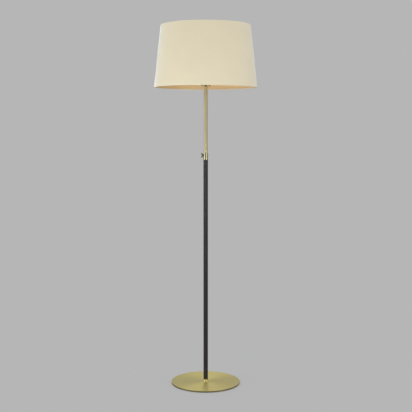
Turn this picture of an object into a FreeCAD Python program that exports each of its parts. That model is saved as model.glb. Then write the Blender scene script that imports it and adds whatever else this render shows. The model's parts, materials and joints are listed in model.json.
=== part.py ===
"""Telescopic floor lamp: a round brass plate, a stem in a black leather sleeve, and a brass mast that slides
and turns in it under a wing screw. The mast carries an E27 lampholder and a harp, and the harp carries a
tapered fabric shade from its top. Millimetres, +Z up, origin on the floor at the centre of the base.
The front is -Y, and the wing screw points to -X."""

import FreeCAD
import Part
import math
import os

OUT = "parts"
UP = FreeCAD.Vector(0, 0, 1)
ORIGIN = FreeCAD.Vector(0, 0, 0)

# ---------------------------------------------------------------- driving dimensions

# Base
plate_r = 152.5
plate_t = 6.5
plate_edge_round = 0.8
plate_foot_chamfer = 0.4
felt_t = 1.2
felt_inset = 4.0
felt_hole_r = 20.0
channel_w = 7.2
channel_h = 4.4
grommet_length = 10.0
grommet_flange_t = 1.2
grommet_flange_w = 10.0
lead_w = 5.8
lead_t = 3.2

# Foot of the stem
bolt_r = 5.95
bolt_bore_r = 3.6
bolt_head_r = 12.0
bolt_head_t = 2.5
bolt_head_sunk = 0.3
bolt_head_room = 1.0
bolt_slot_w = 6.4
bolt_reach = 20.0
plug_length = 28.0
foot_ring_h = 10.0
foot_ring_r = 14.6
foot_ring_top_r = 10.3
foot_ring_land = 1.0
foot_ring_neck_h = 2.4

# Stem
outer_tube_r = 9.5
outer_tube_wall = 1.0
sleeve_t = 0.5
sleeve_bottom_to_collar = 981.3

# Clamp collar on top of the stem
collar_r = 10.2
collar_h = 31.0
collar_socket_h = 11.0
collar_shoulder_h = 3.5
collar_lip_r = 8.9
collar_bore_gap = 0.3
screw_below_top = 12.0
bush_flange_t = 1.5
bush_length = 25.0

# Wing screw, its nylon pad, and the small screw across from it
screw_r = 2.45
screw_hole_gap = 0.1
hub_stand_off = 0.6
hub_r = 4.0
hub_tip_r = 3.2
hub_length = 5.4
wing_span = 20.5
wing_length = 9.8
wing_t = 2.2
wing_edge_round = 0.7
wing_corner_r = 1.2
wing_root_z = 1.0
# Shares of the wing's length and of half its span
wing_outline = ((0.03, 0.09), (0.08, 0.55), (0.66, 1.0), (1.0, 0.9), (0.8, 0.42))
pad_t = 0.5
pad_pin_r = 0.9
pad_pin_length = 2.0
counter_screw_r = 1.5
counter_head_r = 2.6
counter_head_h = 1.1
counter_head_round = 0.65
counter_seat_depth = 0.6

# Mast
mast_r = 8.0
mast_wall = 1.0
mast_showing = 283.0
travel_up = 120.0
stop_gap = 0.3
glide_length = 50.0
glide_land_h = 8.0
glide_chamfer = 0.6
glide_taper_h = 1.0
glide_waist_r = 7.6
glide_spigot_h = 15.0
glide_bore_r = 4.0
cap_flange_t = 3.0
cap_spigot_h = 12.0

# Nipple and harp saddle
nipple_r = 5.0
nipple_bore_r = 3.4
nipple_in_cap = 10.0
nipple_in_holder = 6.0
harp_turn = 54.0
saddle_t = 1.6
saddle_w = 12.0
saddle_disc_r = 9.0
saddle_reach = 28.0
saddle_tab_w = 4.5
saddle_tab_h = 13.0
saddle_bend_r = 3.5
locknut_flats = 14.0
locknut_t = 2.5
locknut_face_r = 7.7
locknut_chamfer_h = 0.6

# Harp
harp_wire_r = 1.6
harp_height = 236.0
harp_half_width = 60.0
harp_knee_rise = 32.0
harp_knee_r = 10.0
harp_elbow_r = 34.0
harp_shoulder_drop = 24.0
harp_shoulder_r = 38.0
harp_boss_r = 8.0
harp_boss_h = 6.0
stud_r = 3.1
stud_h = 14.0
stud_head_r = 5.5
stud_head_t = 1.6
stud_chamfer = 0.6
ferrule_wall = 0.6
ferrule_h = 14.0
ferrule_gap = 0.15
ferrule_spare_lift = 1.0

# Lampholder
holder_stand_off = 6.5
holder_r = 19.6
holder_wall = 0.8
holder_neck_r = 7.2
holder_neck_h = 5.0
holder_dome_h = 16.0
holder_rim_h = 4.0
holder_shell_h = 43.0
holder_lip_r = 15.6
holder_edge_round = 1.5
insert_h = 19.0
insert_lift = 1.0
terminal_r = 1.7
terminal_h = 4.0
terminal_from_axis = 11.0
terminal_slot_w = 0.6
terminal_slot_deep = 0.8
screw_shell_r = 14.2
screw_shell_wall = 0.4
insert_well = 3.0
insert_well_r = 12.0
lead_hole_r = 3.4
contact_t = 0.5
contact_w = 6.0
contact_rise = 2.6
contact_foot_x = -8.5
contact_step_x = -3.0
contact_front_x = 5.0
contact_bend_r = 2.0

# Bulb
bulb_cap_r = 13.1
bulb_cap_h = 19.0
bulb_cap_wall = 0.4
bulb_cap_lip_w = 0.55
bulb_cap_lip_h = 1.6
bulb_cap_chamfer = 0.6
bulb_tip_r = 4.6
bulb_tip_h = 1.4
bulb_insulator_h = 3.4
bulb_insulator_tip_r = 6.0
bulb_housing_h = 36.0
bulb_housing_low_r = 13.7
bulb_housing_top_r = 27.0
bulb_housing_wall = 1.2
bulb_housing_floor = 2.5
bulb_housing_hollow = 3.0
bulb_throat_r = 11.1
bulb_r = 30.0
bulb_globe_h = 50.0
bulb_globe_t = 1.0
bulb_globe_bow = 0.5

# Shade
shade_bottom_r = 225.0
shade_top_r = 195.0
shade_h = 267.0
shade_below_mast = 3.0
fabric_t = 0.5
liner_t = 0.4
hem_h = 12.0
hem_slope_h = 7.0
hem_shelf_h = 0.9
hem_shelf_bend_r = 1.6
hem_wall_bend_r = 3.0
liner_from_hem = 0.3
frame_wire_r = 1.6
spider_hub_r = 14.0
spider_hub_t = 1.6
spider_arm_start = 9.8
spider_arm_rise_from = 26.0
spider_bend_r = 14.0
spider_arms = 3

# Finial
finial_washer_t = 1.0
finial_base_r = 7.6
finial_base_h = 2.4
finial_base_chamfer = 0.96
finial_neck_r = 4.6
finial_neck_above_base = 3.0
finial_neck_hollow = 0.5
finial_ball_r = 8.2
finial_h = 24.0
finial_bore_spare = 1.0

# Clearances
fit_gap = 0.05
slide_gap = 0.08
seat_gap = 0.1
hem_gap = 0.12
ring_gap = 0.35
notch_gap = 0.5
turn_gap = 0.3
edge_break = 0.3

TINY = 1e-6

# ---------------------------------------------------------------- heights and radii that follow

plate_bottom = felt_t
plate_top = plate_bottom + plate_t
foot_ring_top = plate_top + foot_ring_h
sleeve_r = outer_tube_r + fit_gap + sleeve_t
collar_bottom = foot_ring_top + sleeve_bottom_to_collar
collar_top = collar_bottom + collar_h
socket_top = collar_bottom + collar_socket_h
outer_tube_bore_r = outer_tube_r - outer_tube_wall
outer_tube_top = socket_top - bush_flange_t - fit_gap
screw_z = collar_top - screw_below_top
bush_bottom = outer_tube_top - bush_length
mast_bore_r = mast_r - mast_wall
saddle_z = collar_top + mast_showing + cap_flange_t
mast_top = saddle_z - cap_flange_t
mast_bottom = bush_bottom - travel_up - stop_gap
nipple_top = saddle_z + saddle_t + holder_stand_off + holder_neck_h + nipple_in_holder
saddle_shoulder_z = saddle_z + saddle_t + saddle_bend_r
harp_leg_from_axis = saddle_reach + saddle_t / 2 + fit_gap + harp_wire_r
harp_foot_z = saddle_shoulder_z + 2 * fit_gap
harp_top = saddle_z + harp_height
leg_back = harp_leg_from_axis + harp_wire_r - saddle_reach
ferrule_shift = (leg_back ** 2 - (saddle_t / 2) ** 2 - (saddle_tab_w / 2) ** 2) / (2 * leg_back + saddle_t)
ferrule_from_axis = saddle_reach + ferrule_shift
ferrule_bore_r = leg_back - ferrule_shift + ferrule_gap
ferrule_r = ferrule_bore_r + ferrule_wall
ferrule_low = saddle_shoulder_z + fit_gap
ferrule_travel = saddle_z + saddle_tab_h - ferrule_low + ferrule_spare_lift
harp_knee_z = ferrule_low + ferrule_h + ferrule_travel + harp_knee_r / 2
holder_bottom = saddle_z + saddle_t + holder_stand_off
shell_bottom = holder_bottom + holder_neck_h + holder_dome_h
insert_bottom = shell_bottom + insert_lift
insert_top = insert_bottom + insert_h
shell_top = shell_bottom + holder_shell_h
shade_bottom = saddle_z - shade_below_mast
hub_bottom = harp_top + seat_gap
hub_top = hub_bottom + spider_hub_t
hem_turn_r = frame_wire_r + ring_gap + fabric_t / 2


# ---------------------------------------------------------------- drawing helpers


def flat(point, azimuth=0.0):
    """A point (distance from the axis, height) in the upright plane at an azimuth in degrees."""
    turn = math.radians(azimuth)
    return FreeCAD.Vector(point[0] * math.cos(turn), point[0] * math.sin(turn), point[1])


def outline(start, *steps):
    """A closed face in the XZ plane. A step is the end of a straight side, or (through, end) of an arc."""
    edges = []
    here = start
    for step in steps + (start,):
        if isinstance(step[0], tuple):
            through, end = step
            edges.append(Part.Arc(flat(here), flat(through), flat(end)).toShape())
        else:
            end = step
            if end != here:
                edges.append(Part.LineSegment(flat(here), flat(end)).toShape())
        here = end
    return Part.Face(Part.Wire(edges))


def bowed(start, end, bow):
    """The arc step from start to end whose middle stands to the left of the straight way by bow."""
    across, up = end[0] - start[0], end[1] - start[1]
    share = bow / math.hypot(across, up)
    return ((start[0] + end[0]) / 2 - up * share, (start[1] + end[1]) / 2 + across * share), end


def quarter(corner_at, radius, across, up):
    """The middle of a quarter turn that rounds a corner. across and up are 1 or -1, away from its centre."""
    inset = radius * (1 - math.sqrt(0.5))
    return corner_at[0] - across * inset, corner_at[1] - up * inset


def turned(start, *steps):
    """The solid that an outline sweeps once round the Z axis."""
    return outline(start, *steps).revolve(ORIGIN, UP, 360)


def rod(radius, low, high, at=(0.0, 0.0)):
    """An upright round bar."""
    return Part.makeCylinder(radius, high - low, FreeCAD.Vector(at[0], at[1], low), UP)


def pipe(outside, inside, low, high, at=(0.0, 0.0)):
    """An upright tube."""
    return rod(outside, low, high, at).cut(rod(inside, low, high, at))


def bar_x(radius, start, end, z):
    """A round bar along X at a height."""
    way = FreeCAD.Vector(1 if end > start else -1, 0, 0)
    return Part.makeCylinder(radius, abs(end - start), FreeCAD.Vector(start, 0, z), way)


def corner(before, at, after, radius):
    """Where an arc of a radius leaves and meets the two sides at a corner, its middle and its centre."""
    back = (before - at).normalize()
    ahead = (after - at).normalize()
    half = back.getAngle(ahead) / 2
    reach = radius / math.tan(half)
    inward = (back + ahead).normalize()
    centre = at + inward * (radius / math.sin(half))
    return at + back * reach, at + ahead * reach, centre - inward * radius, centre


def rounded_path(points, radii):
    """Straight runs through the points, joined by tangent arcs of the radii."""
    edges = []
    here = points[0]
    for before, at, after, radius in zip(points, points[1:], points[2:], radii):
        leave, meet, middle, _ = corner(before, at, after, radius)
        if (leave - here).Length > TINY:
            edges.append(Part.LineSegment(here, leave).toShape())
        edges.append(Part.Arc(leave, middle, meet).toShape())
        here = meet
    if (points[-1] - here).Length > TINY:
        edges.append(Part.LineSegment(here, points[-1]).toShape())
    return edges


def wire_rod(points, radii, radius):
    """A round wire bent along the points."""
    path = Part.Wire(rounded_path(points, radii))
    section = Part.Wire([Part.Circle(points[0], points[1] - points[0], radius).toShape()])
    return path.makePipeShell([section], True, False)


def strip_face(points, radii, thickness, azimuth=0.0):
    """The section of a bent strip whose middle line runs through the points, in an upright plane."""
    line = [FreeCAD.Vector(u, 0, z) for u, z in points]
    sides = []
    for side in (1, -1):
        shift = side * thickness / 2
        edges = []
        start_way = (line[1] - line[0]).normalize()
        here = line[0] + FreeCAD.Vector(-start_way.z, 0, start_way.x) * shift
        for before, at, after, radius in zip(line, line[1:], line[2:], radii):
            leave, meet, middle, centre = corner(before, at, after, radius)
            grown = [centre + (p - centre) * (1 + offset_share(before, at, after, shift, radius))
                     for p in (leave, middle, meet)]
            if (grown[0] - here).Length > TINY:
                edges.append(Part.LineSegment(here, grown[0]).toShape())
            edges.append(Part.Arc(*grown).toShape())
            here = grown[2]
        end_way = (line[-1] - line[-2]).normalize()
        last = line[-1] + FreeCAD.Vector(-end_way.z, 0, end_way.x) * shift
        if (last - here).Length > TINY:
            edges.append(Part.LineSegment(here, last).toShape())
        sides.append(edges)
    ends = [Part.LineSegment(sides[0][0].Vertexes[0].Point, sides[1][0].Vertexes[0].Point).toShape(),
            Part.LineSegment(sides[0][-1].Vertexes[-1].Point, sides[1][-1].Vertexes[-1].Point).toShape()]
    ring = Part.Wire(Part.__sortEdges__(sides[0] + sides[1] + ends))
    face = Part.Face(ring)
    face.rotate(ORIGIN, UP, azimuth)
    return face


def offset_share(before, at, after, shift, radius):
    """How much a corner's arc grows, as a share of its radius, when its line shifts to the left by shift."""
    first = at - before
    second = after - at
    turns_left = first.z * second.x - first.x * second.z < 0
    return (-shift if turns_left else shift) / radius


def save(name, *solids):
    """Writes a node. Several solids stay separate in it."""
    shape = solids[0] if len(solids) == 1 else Part.makeCompound(list(solids))
    assert shape.isValid() and shape.Volume > 0, name
    shape.exportStep(os.path.join(OUT, name + ".step"))


# ---------------------------------------------------------------- base


def make_base():
    plate = turned(
        (bolt_r + seat_gap, plate_bottom),
        (plate_r - plate_foot_chamfer, plate_bottom),
        (plate_r, plate_bottom + plate_foot_chamfer),
        (plate_r, plate_top - plate_edge_round),
        (quarter((plate_r, plate_top), plate_edge_round, 1, 1), (plate_r - plate_edge_round, plate_top)),
        (bolt_r + seat_gap, plate_top),
    )
    head_seat = rod(bolt_head_r + bolt_head_room, plate_bottom, plate_bottom + bolt_head_sunk + bolt_head_t)
    channel = Part.makeBox(channel_w, plate_r, channel_h,
                           FreeCAD.Vector(-channel_w / 2, 0, plate_bottom))
    channel = channel.cut(rod(bolt_head_r, plate_bottom, plate_top))
    save("base_plate", plate.cut(head_seat).cut(channel))

    save("felt_pad", pipe(plate_r - felt_inset, felt_hole_r, 0, felt_t))

    make_grommet()


def upright_slot(width, height, start_y, length, middle_z):
    """A bar along Y whose section is a rounded slot, as a flat two-core lead has."""
    side = height / 2
    reach = width / 2 - side
    bar = Part.makeBox(2 * reach, length, height, FreeCAD.Vector(-reach, start_y, middle_z - side))
    for x in (-reach, reach):
        bar = bar.fuse(Part.makeCylinder(side, length, FreeCAD.Vector(x, start_y, middle_z),
                                         FreeCAD.Vector(0, 1, 0)))
    return bar.removeSplitter()


def make_grommet():
    """The rubber bush in the mouth of the lead's channel at the back of the plate."""
    wide = channel_w - 2 * fit_gap
    high = channel_h - 2 * fit_gap
    middle = plate_bottom + channel_h / 2
    body = upright_slot(wide, high, plate_r - grommet_length, grommet_length + seat_gap, middle)
    flange = upright_slot(grommet_flange_w, high, plate_r + seat_gap, grommet_flange_t, middle)
    hole = upright_slot(lead_w, lead_t, plate_r - 2 * grommet_length, 4 * grommet_length, middle)
    save("lead_grommet", body.fuse(flange).removeSplitter().cut(hole))


# ---------------------------------------------------------------- foot of the stem


def make_foot():
    head_low = plate_bottom + bolt_head_sunk
    head_high = head_low + bolt_head_t
    head = rod(bolt_head_r, head_low, head_high)
    shank = rod(bolt_r, head_high, plate_top + bolt_reach)
    slot = Part.makeBox(bolt_slot_w, 2 * bolt_head_r, bolt_head_t,
                        FreeCAD.Vector(-bolt_slot_w / 2, 0, head_low))
    bore = rod(bolt_bore_r, head_low, plate_top + bolt_reach)
    save("foot_bolt", head.fuse(shank).removeSplitter().cut(slot).cut(bore))

    save("foot_plug", pipe(outer_tube_bore_r - fit_gap, bolt_r + fit_gap, plate_top, plate_top + plug_length))

    flare_low = (foot_ring_r, plate_top + foot_ring_land)
    flare_high = (foot_ring_top_r, foot_ring_top - foot_ring_neck_h)
    reach, rise = flare_low[0] - flare_high[0], flare_high[1] - flare_low[1]
    hollow = math.hypot(reach, rise) / 2 * math.tan(math.atan2(reach, rise) / 2)
    save("foot_ring", turned(
        (outer_tube_r + fit_gap, plate_top),
        (foot_ring_r, plate_top),
        flare_low,
        bowed(flare_low, flare_high, hollow),
        (foot_ring_top_r, foot_ring_top - edge_break),
        (foot_ring_top_r - edge_break, foot_ring_top),
        (outer_tube_r + fit_gap, foot_ring_top),
    ))


# ---------------------------------------------------------------- stem and clamp


def make_stem():
    save("outer_tube", pipe(outer_tube_r, outer_tube_bore_r, plate_top, outer_tube_top))
    save("leather_sleeve", pipe(sleeve_r, outer_tube_r + fit_gap,
                                foot_ring_top + seat_gap, collar_bottom - seat_gap))
    save("upper_bush", turned(
        (mast_r + fit_gap, bush_bottom),
        (outer_tube_bore_r - fit_gap, bush_bottom),
        (outer_tube_bore_r - fit_gap, outer_tube_top + fit_gap),
        (outer_tube_r, outer_tube_top + fit_gap),
        (outer_tube_r, socket_top),
        (mast_r + fit_gap, socket_top),
    ))


def make_collar():
    bore = mast_r + collar_bore_gap
    shoulder = collar_r - collar_lip_r
    through = (collar_lip_r + shoulder * math.sqrt(0.5),
               collar_top - collar_shoulder_h * (1 - math.sqrt(0.5)))
    collar = turned(
        (outer_tube_r + fit_gap, collar_bottom),
        (collar_r - edge_break, collar_bottom),
        (collar_r, collar_bottom + edge_break),
        (collar_r, collar_top - collar_shoulder_h),
        (through, (collar_lip_r, collar_top)),
        (bore + edge_break, collar_top),
        (bore, collar_top - edge_break),
        (bore, socket_top),
        (outer_tube_r + fit_gap, socket_top),
    )
    screw_hole = bar_x(screw_r + screw_hole_gap, -2 * collar_r, 0, screw_z)
    counter_hole = bar_x(counter_screw_r + fit_gap, 0, 2 * collar_r, screw_z)
    seat_x = collar_r - counter_seat_depth
    counter_seat = bar_x(counter_head_r + fit_gap, seat_x, 2 * collar_r, screw_z)
    save("clamp_collar", collar.cut(screw_hole).cut(counter_hole).cut(counter_seat))

    head = bar_x(counter_head_r, seat_x, seat_x + counter_head_h, screw_z)
    outer_rim = [e for e in head.Edges if abs(e.CenterOfMass.x - head.BoundBox.XMax) < TINY]
    head = head.makeFillet(counter_head_round, outer_rim)
    shank = bar_x(counter_screw_r, mast_r + collar_bore_gap, seat_x, screw_z)
    save("counter_screw", head.fuse(shank).removeSplitter())


def rounded_face(points, radius):
    """A flat face through the points whose corners are all rounded by one radius."""
    ring = points + points[:2]
    legs = [corner(before, at, after, radius) for before, at, after in zip(ring, ring[1:], ring[2:])]
    edges = []
    for here, following in zip(legs, legs[1:] + legs[:1]):
        edges.append(Part.Arc(here[0], here[2], here[1]).toShape())
        edges.append(Part.LineSegment(here[1], following[0]).toShape())
    return Part.Face(Part.Wire(edges))


def wing_face(side):
    """One wing of the screw in the XZ plane: it leaves the hub and flares outwards and away from the axis."""
    root = -(collar_r + hub_stand_off)
    points = [(root - along * wing_length, up * wing_span / 2) for along, up in wing_outline]
    points.append((root - hub_length, wing_root_z))
    return rounded_face([flat((x, screw_z + side * z)) for x, z in points], wing_corner_r)


def make_wing_screw():
    tip = -(mast_r + fit_gap + pad_t + fit_gap)
    root = -(collar_r + hub_stand_off)
    shank = bar_x(screw_r, tip, root, screw_z)
    outwards = FreeCAD.Vector(-1, 0, 0)
    hub = Part.makeCone(hub_r, hub_tip_r, hub_length, FreeCAD.Vector(root, 0, screw_z), outwards)
    wings = []
    for side in (-1, 1):
        wing = wing_face(side).extrude(FreeCAD.Vector(0, wing_t, 0))
        wing.translate(FreeCAD.Vector(0, -wing_t / 2, 0))
        rims = [e for e in wing.Edges if abs(abs(e.CenterOfMass.y) - wing_t / 2) < TINY]
        wings.append(wing.makeFillet(wing_edge_round, rims))
    pin_hole = bar_x(pad_pin_r + fit_gap, tip, tip - pad_pin_length - seat_gap, screw_z)
    save("wing_screw", shank.fuse([hub] + wings).removeSplitter().cut(pin_hole))

    mast_room = rod(mast_r + fit_gap, collar_bottom, collar_top)
    pad = bar_x(screw_r - fit_gap, 0, tip + fit_gap, screw_z).cut(mast_room)
    pin = bar_x(pad_pin_r, tip + pad_t / 2, tip - pad_pin_length, screw_z)
    save("clamp_pad", pad.fuse(pin).removeSplitter())


# ---------------------------------------------------------------- mast


def make_mast():
    save("inner_tube", pipe(mast_r, mast_bore_r, mast_bottom, mast_top))

    land_r = outer_tube_bore_r - slide_gap
    rim_top = mast_bottom - fit_gap
    rim_bottom = rim_top - glide_length
    save("lower_glide", turned(
        (glide_bore_r, rim_bottom),
        (land_r - glide_chamfer, rim_bottom),
        (land_r, rim_bottom + glide_chamfer),
        (land_r, rim_bottom + glide_land_h),
        (glide_waist_r, rim_bottom + glide_land_h + glide_taper_h),
        (glide_waist_r, rim_top - glide_land_h - glide_taper_h),
        (land_r, rim_top - glide_land_h),
        (land_r, rim_top),
        (mast_bore_r - fit_gap, rim_top),
        (mast_bore_r - fit_gap, mast_bottom + glide_spigot_h),
        (glide_bore_r, mast_bottom + glide_spigot_h),
    ))

    save("tube_cap", turned(
        (nipple_r + fit_gap, mast_top - cap_spigot_h),
        (mast_bore_r - fit_gap, mast_top - cap_spigot_h),
        (mast_bore_r - fit_gap, mast_top),
        (mast_r, mast_top),
        (mast_r, saddle_z - edge_break),
        (mast_r - edge_break, saddle_z),
        (nipple_r + fit_gap, saddle_z),
    ))
    save("nipple", pipe(nipple_r, nipple_bore_r, mast_top - nipple_in_cap, nipple_top))


def make_saddle():
    middle = saddle_z + saddle_t / 2
    top = saddle_z + saddle_tab_h
    line = [(-saddle_reach, top), (-saddle_reach, middle), (saddle_reach, middle), (saddle_reach, top)]
    strap = strip_face(line, [saddle_bend_r] * 2, saddle_t, harp_turn)
    across = flat((1, 0), harp_turn + 90)
    strap.translate(across * (-saddle_w / 2))
    strap = strap.extrude(across * saddle_w)
    disc = rod(saddle_disc_r, saddle_z, saddle_z + saddle_t)
    strap = strap.fuse(disc).removeSplitter()
    for side in (-1, 1):
        trim = Part.makeBox(4 * saddle_reach, saddle_w, saddle_tab_h,
                            FreeCAD.Vector(-2 * saddle_reach, 0, saddle_shoulder_z))
        trim.translate(FreeCAD.Vector(0, saddle_tab_w / 2 if side > 0 else -saddle_tab_w / 2 - saddle_w, 0))
        trim.rotate(ORIGIN, UP, harp_turn)
        strap = strap.cut(trim)
    save("harp_saddle", strap.cut(rod(nipple_r + fit_gap, mast_top, top)))

    corner_r = locknut_flats / math.sqrt(3)
    low, high = saddle_z + saddle_t, saddle_z + saddle_t + locknut_t
    hexagon = Part.Face(Part.makePolygon([flat((corner_r, low), 60 * k) for k in range(7)]))
    nut = hexagon.extrude(UP * locknut_t).common(turned(
        (nipple_r + fit_gap, low),
        (locknut_face_r, low),
        (corner_r, low + locknut_chamfer_h),
        (corner_r, high - locknut_chamfer_h),
        (locknut_face_r, high),
        (nipple_r + fit_gap, high),
    ))
    save("saddle_locknut", nut)


# ---------------------------------------------------------------- harp


def harp_leg(side):
    """One half of the bow, from its flattened foot beside the saddle to the boss on top."""
    line = [
        (side * harp_leg_from_axis, harp_foot_z),
        (side * harp_leg_from_axis, harp_knee_z),
        (side * harp_half_width, harp_knee_z + harp_knee_rise),
        (side * harp_half_width, harp_top - harp_shoulder_drop),
        (side * harp_boss_r / 2, harp_top - harp_boss_h / 2),
    ]
    radii = [harp_knee_r, harp_elbow_r, harp_shoulder_r]
    return wire_rod([flat(p, harp_turn) for p in line], radii, harp_wire_r)


def make_harp():
    boss = rod(harp_boss_r, harp_top - harp_boss_h, harp_top)
    bow = boss.fuse([harp_leg(1), harp_leg(-1)]).removeSplitter()
    save("harp_bow", bow.cut(rod(stud_r + fit_gap, harp_top - 2 * harp_boss_h, harp_top)))

    head_top = harp_top - harp_boss_h
    save("harp_stud", turned(
        (0, head_top - stud_head_t),
        (stud_head_r, head_top - stud_head_t),
        (stud_head_r, head_top),
        (stud_r, head_top),
        (stud_r, harp_top + stud_h - stud_chamfer),
        (stud_r - stud_chamfer, harp_top + stud_h),
        (0, harp_top + stud_h),
    ))

    for name, side in (("ferrule_left", -1), ("ferrule_right", 1)):
        centre = flat((side * ferrule_from_axis, 0), harp_turn)
        sleeve = turned(
            (ferrule_bore_r, ferrule_low),
            (ferrule_r - edge_break, ferrule_low),
            (ferrule_r, ferrule_low + edge_break),
            (ferrule_r, ferrule_low + ferrule_h - edge_break),
            (ferrule_r - edge_break, ferrule_low + ferrule_h),
            (ferrule_bore_r, ferrule_low + ferrule_h),
        )
        sleeve.translate(FreeCAD.Vector(centre.x, centre.y, 0))
        save(name, sleeve)


# ---------------------------------------------------------------- lampholder and bulb


def make_lampholder():
    """The brass cap and shell of the holder, and the porcelain insert between them."""
    neck_top = holder_bottom + holder_neck_h
    inner_r = holder_r - holder_wall
    make_holder_cap(neck_top, inner_r)

    shell_r = inner_r - fit_gap
    save("lampholder_shell", turned(
        (shell_r - holder_wall, shell_bottom),
        (shell_r, shell_bottom),
        (shell_r, shell_top - holder_edge_round),
        (quarter((shell_r, shell_top), holder_edge_round, 1, 1), (shell_r - holder_edge_round, shell_top)),
        (holder_lip_r, shell_top),
        (holder_lip_r, shell_top - holder_wall),
        (shell_r - holder_wall, shell_top - 2 * holder_wall),
    ))
    make_insert(shell_r - holder_wall - fit_gap)
    save("screw_shell", pipe(screw_shell_r, screw_shell_r - screw_shell_wall, insert_top + fit_gap,
                             shell_top - 2 * holder_wall - fit_gap))


def make_holder_cap(neck_top, inner_r):
    """A spun cap: a short neck that flares to the rim in a trumpet, with one wall all over."""
    dome_top = neck_top + holder_dome_h
    throat_r = holder_neck_r - holder_wall
    middle = math.sqrt(0.5)
    drop = holder_dome_h * middle
    drop_in = (holder_dome_h - holder_wall) * middle
    outer_middle = (holder_neck_r + (holder_r - holder_neck_r) * middle, dome_top - drop)
    inner_middle = (throat_r + (inner_r - throat_r) * middle, dome_top - drop_in)
    save("lampholder_cap", turned(
        (nipple_r + fit_gap, holder_bottom),
        (holder_neck_r, holder_bottom),
        (holder_neck_r, neck_top),
        (outer_middle, (holder_r, dome_top)),
        (holder_r, dome_top + holder_rim_h),
        (inner_r, dome_top + holder_rim_h),
        (inner_r, dome_top),
        (inner_middle, (throat_r, neck_top + holder_wall)),
        (nipple_r + fit_gap, neck_top + holder_wall),
    ))


def make_insert(body_r):
    """The porcelain with its well and two terminal screws, and the sprung tongue in the well."""
    body = rod(body_r, insert_bottom, insert_top)
    body = body.cut(rod(insert_well_r, insert_top - insert_well, insert_top))
    body = body.cut(rod(lead_hole_r, insert_bottom, insert_top))
    terminals = []
    for side in (-1, 1):
        at = (side * terminal_from_axis, 0)
        body = body.cut(rod(terminal_r + fit_gap, insert_bottom, insert_bottom + terminal_h, at))
        slot = Part.makeBox(2 * terminal_r, terminal_slot_w, terminal_slot_deep,
                            FreeCAD.Vector(at[0] - terminal_r, -terminal_slot_w / 2, insert_bottom))
        terminals.append(rod(terminal_r, insert_bottom, insert_bottom + terminal_h - fit_gap, at).cut(slot))
    save("lampholder_insert", body)
    save("terminal_screws", *terminals)

    foot = insert_top - insert_well + contact_t / 2
    tongue = [(contact_foot_x, foot), (contact_step_x, foot), (0.0, foot + contact_rise),
              (contact_front_x, foot + contact_rise)]
    strip = strip_face(tongue, [contact_bend_r] * 2, contact_t)
    strip.translate(FreeCAD.Vector(0, -contact_w / 2, 0))
    save("centre_contact", strip.extrude(FreeCAD.Vector(0, contact_w, 0)))


def make_bulb():
    """A frosted LED bulb: contact, insulator and screw cap, a fluted-out housing, and the globe on it."""
    tip_low = insert_top - insert_well + contact_t + contact_rise + fit_gap
    tip_high = tip_low + bulb_tip_h
    cap_low = tip_high + bulb_insulator_h
    cap_high = cap_low + bulb_cap_h
    bore_r = bulb_cap_r - bulb_cap_wall
    lip_r = bore_r - bulb_cap_lip_w
    lip_high = cap_low + bulb_cap_lip_h
    save("bulb_contact", turned(
        (0, tip_low),
        bowed((0, tip_low), (bulb_tip_r, tip_high), -bulb_tip_bow()),
        (0, tip_high),
    ))
    save("bulb_insulator", turned(
        (0, tip_high + fit_gap),
        (bulb_insulator_tip_r, tip_high + fit_gap),
        (lip_r - fit_gap, cap_low),
        (lip_r - fit_gap, lip_high),
        (0, lip_high),
    ))
    save("bulb_screw_cap", turned(
        (lip_r, cap_low),
        (bulb_cap_r - bulb_cap_chamfer, cap_low),
        (bulb_cap_r, cap_low + bulb_cap_chamfer),
        (bulb_cap_r, cap_high),
        (bore_r, cap_high),
        (bore_r, lip_high),
        (lip_r, lip_high),
    ))
    make_bulb_housing(cap_high)
    make_globe(cap_high + bulb_housing_h + fit_gap)


def bulb_tip_bow():
    """How far the contact's dome stands out from its chord, when it meets the axis square on."""
    chord = math.hypot(bulb_tip_r, bulb_tip_h)
    return chord / 2 * math.tan(math.atan2(bulb_tip_h, bulb_tip_r) / 2)


def make_bulb_housing(cap_high):
    low, high = cap_high + fit_gap, cap_high + bulb_housing_h
    flank = bowed((bulb_housing_low_r, low), (bulb_housing_top_r, high), bulb_housing_hollow)
    flank_in = (flank[0][0] - bulb_housing_wall, flank[0][1])
    save("bulb_housing", turned(
        (bulb_throat_r, low),
        (bulb_housing_low_r, low),
        flank,
        (bulb_housing_top_r - bulb_housing_wall, high),
        (flank_in, (bulb_throat_r, low + bulb_housing_floor)),
    ))


def make_globe(low):
    widest = low + bulb_globe_h - bulb_r
    inner_r = bulb_r - bulb_globe_t
    foot, foot_in = (bulb_housing_top_r, low), (bulb_housing_top_r - bulb_globe_t, low)
    top, top_in = (0, widest + bulb_r), (0, widest + inner_r)
    middle = math.sqrt(0.5)
    save("bulb_globe", turned(
        foot_in,
        foot,
        bowed(foot, (bulb_r, widest), -bulb_globe_bow),
        ((bulb_r * middle, widest + bulb_r * middle), top),
        top_in,
        ((inner_r * middle, widest + inner_r * middle), (inner_r, widest)),
        bowed((inner_r, widest), foot_in, bulb_globe_bow),
    ))


# ---------------------------------------------------------------- shade


def wall_point(height, inward=0.0):
    """A point on the middle of the fabric wall at a height above the shade's foot, or inward of it."""
    lean = math.atan2(shade_bottom_r - shade_top_r, shade_h)
    radius = shade_bottom_r - (shade_bottom_r - shade_top_r) * height / shade_h
    inward += fabric_t / 2 / math.cos(lean)
    return radius - inward * math.cos(lean), shade_bottom + height - inward * math.sin(lean)


def ring_place(height):
    """Radius and height of a frame ring's middle line, inside the hem whose edge is at a height."""
    return wall_point(height, hem_turn_r)


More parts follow.
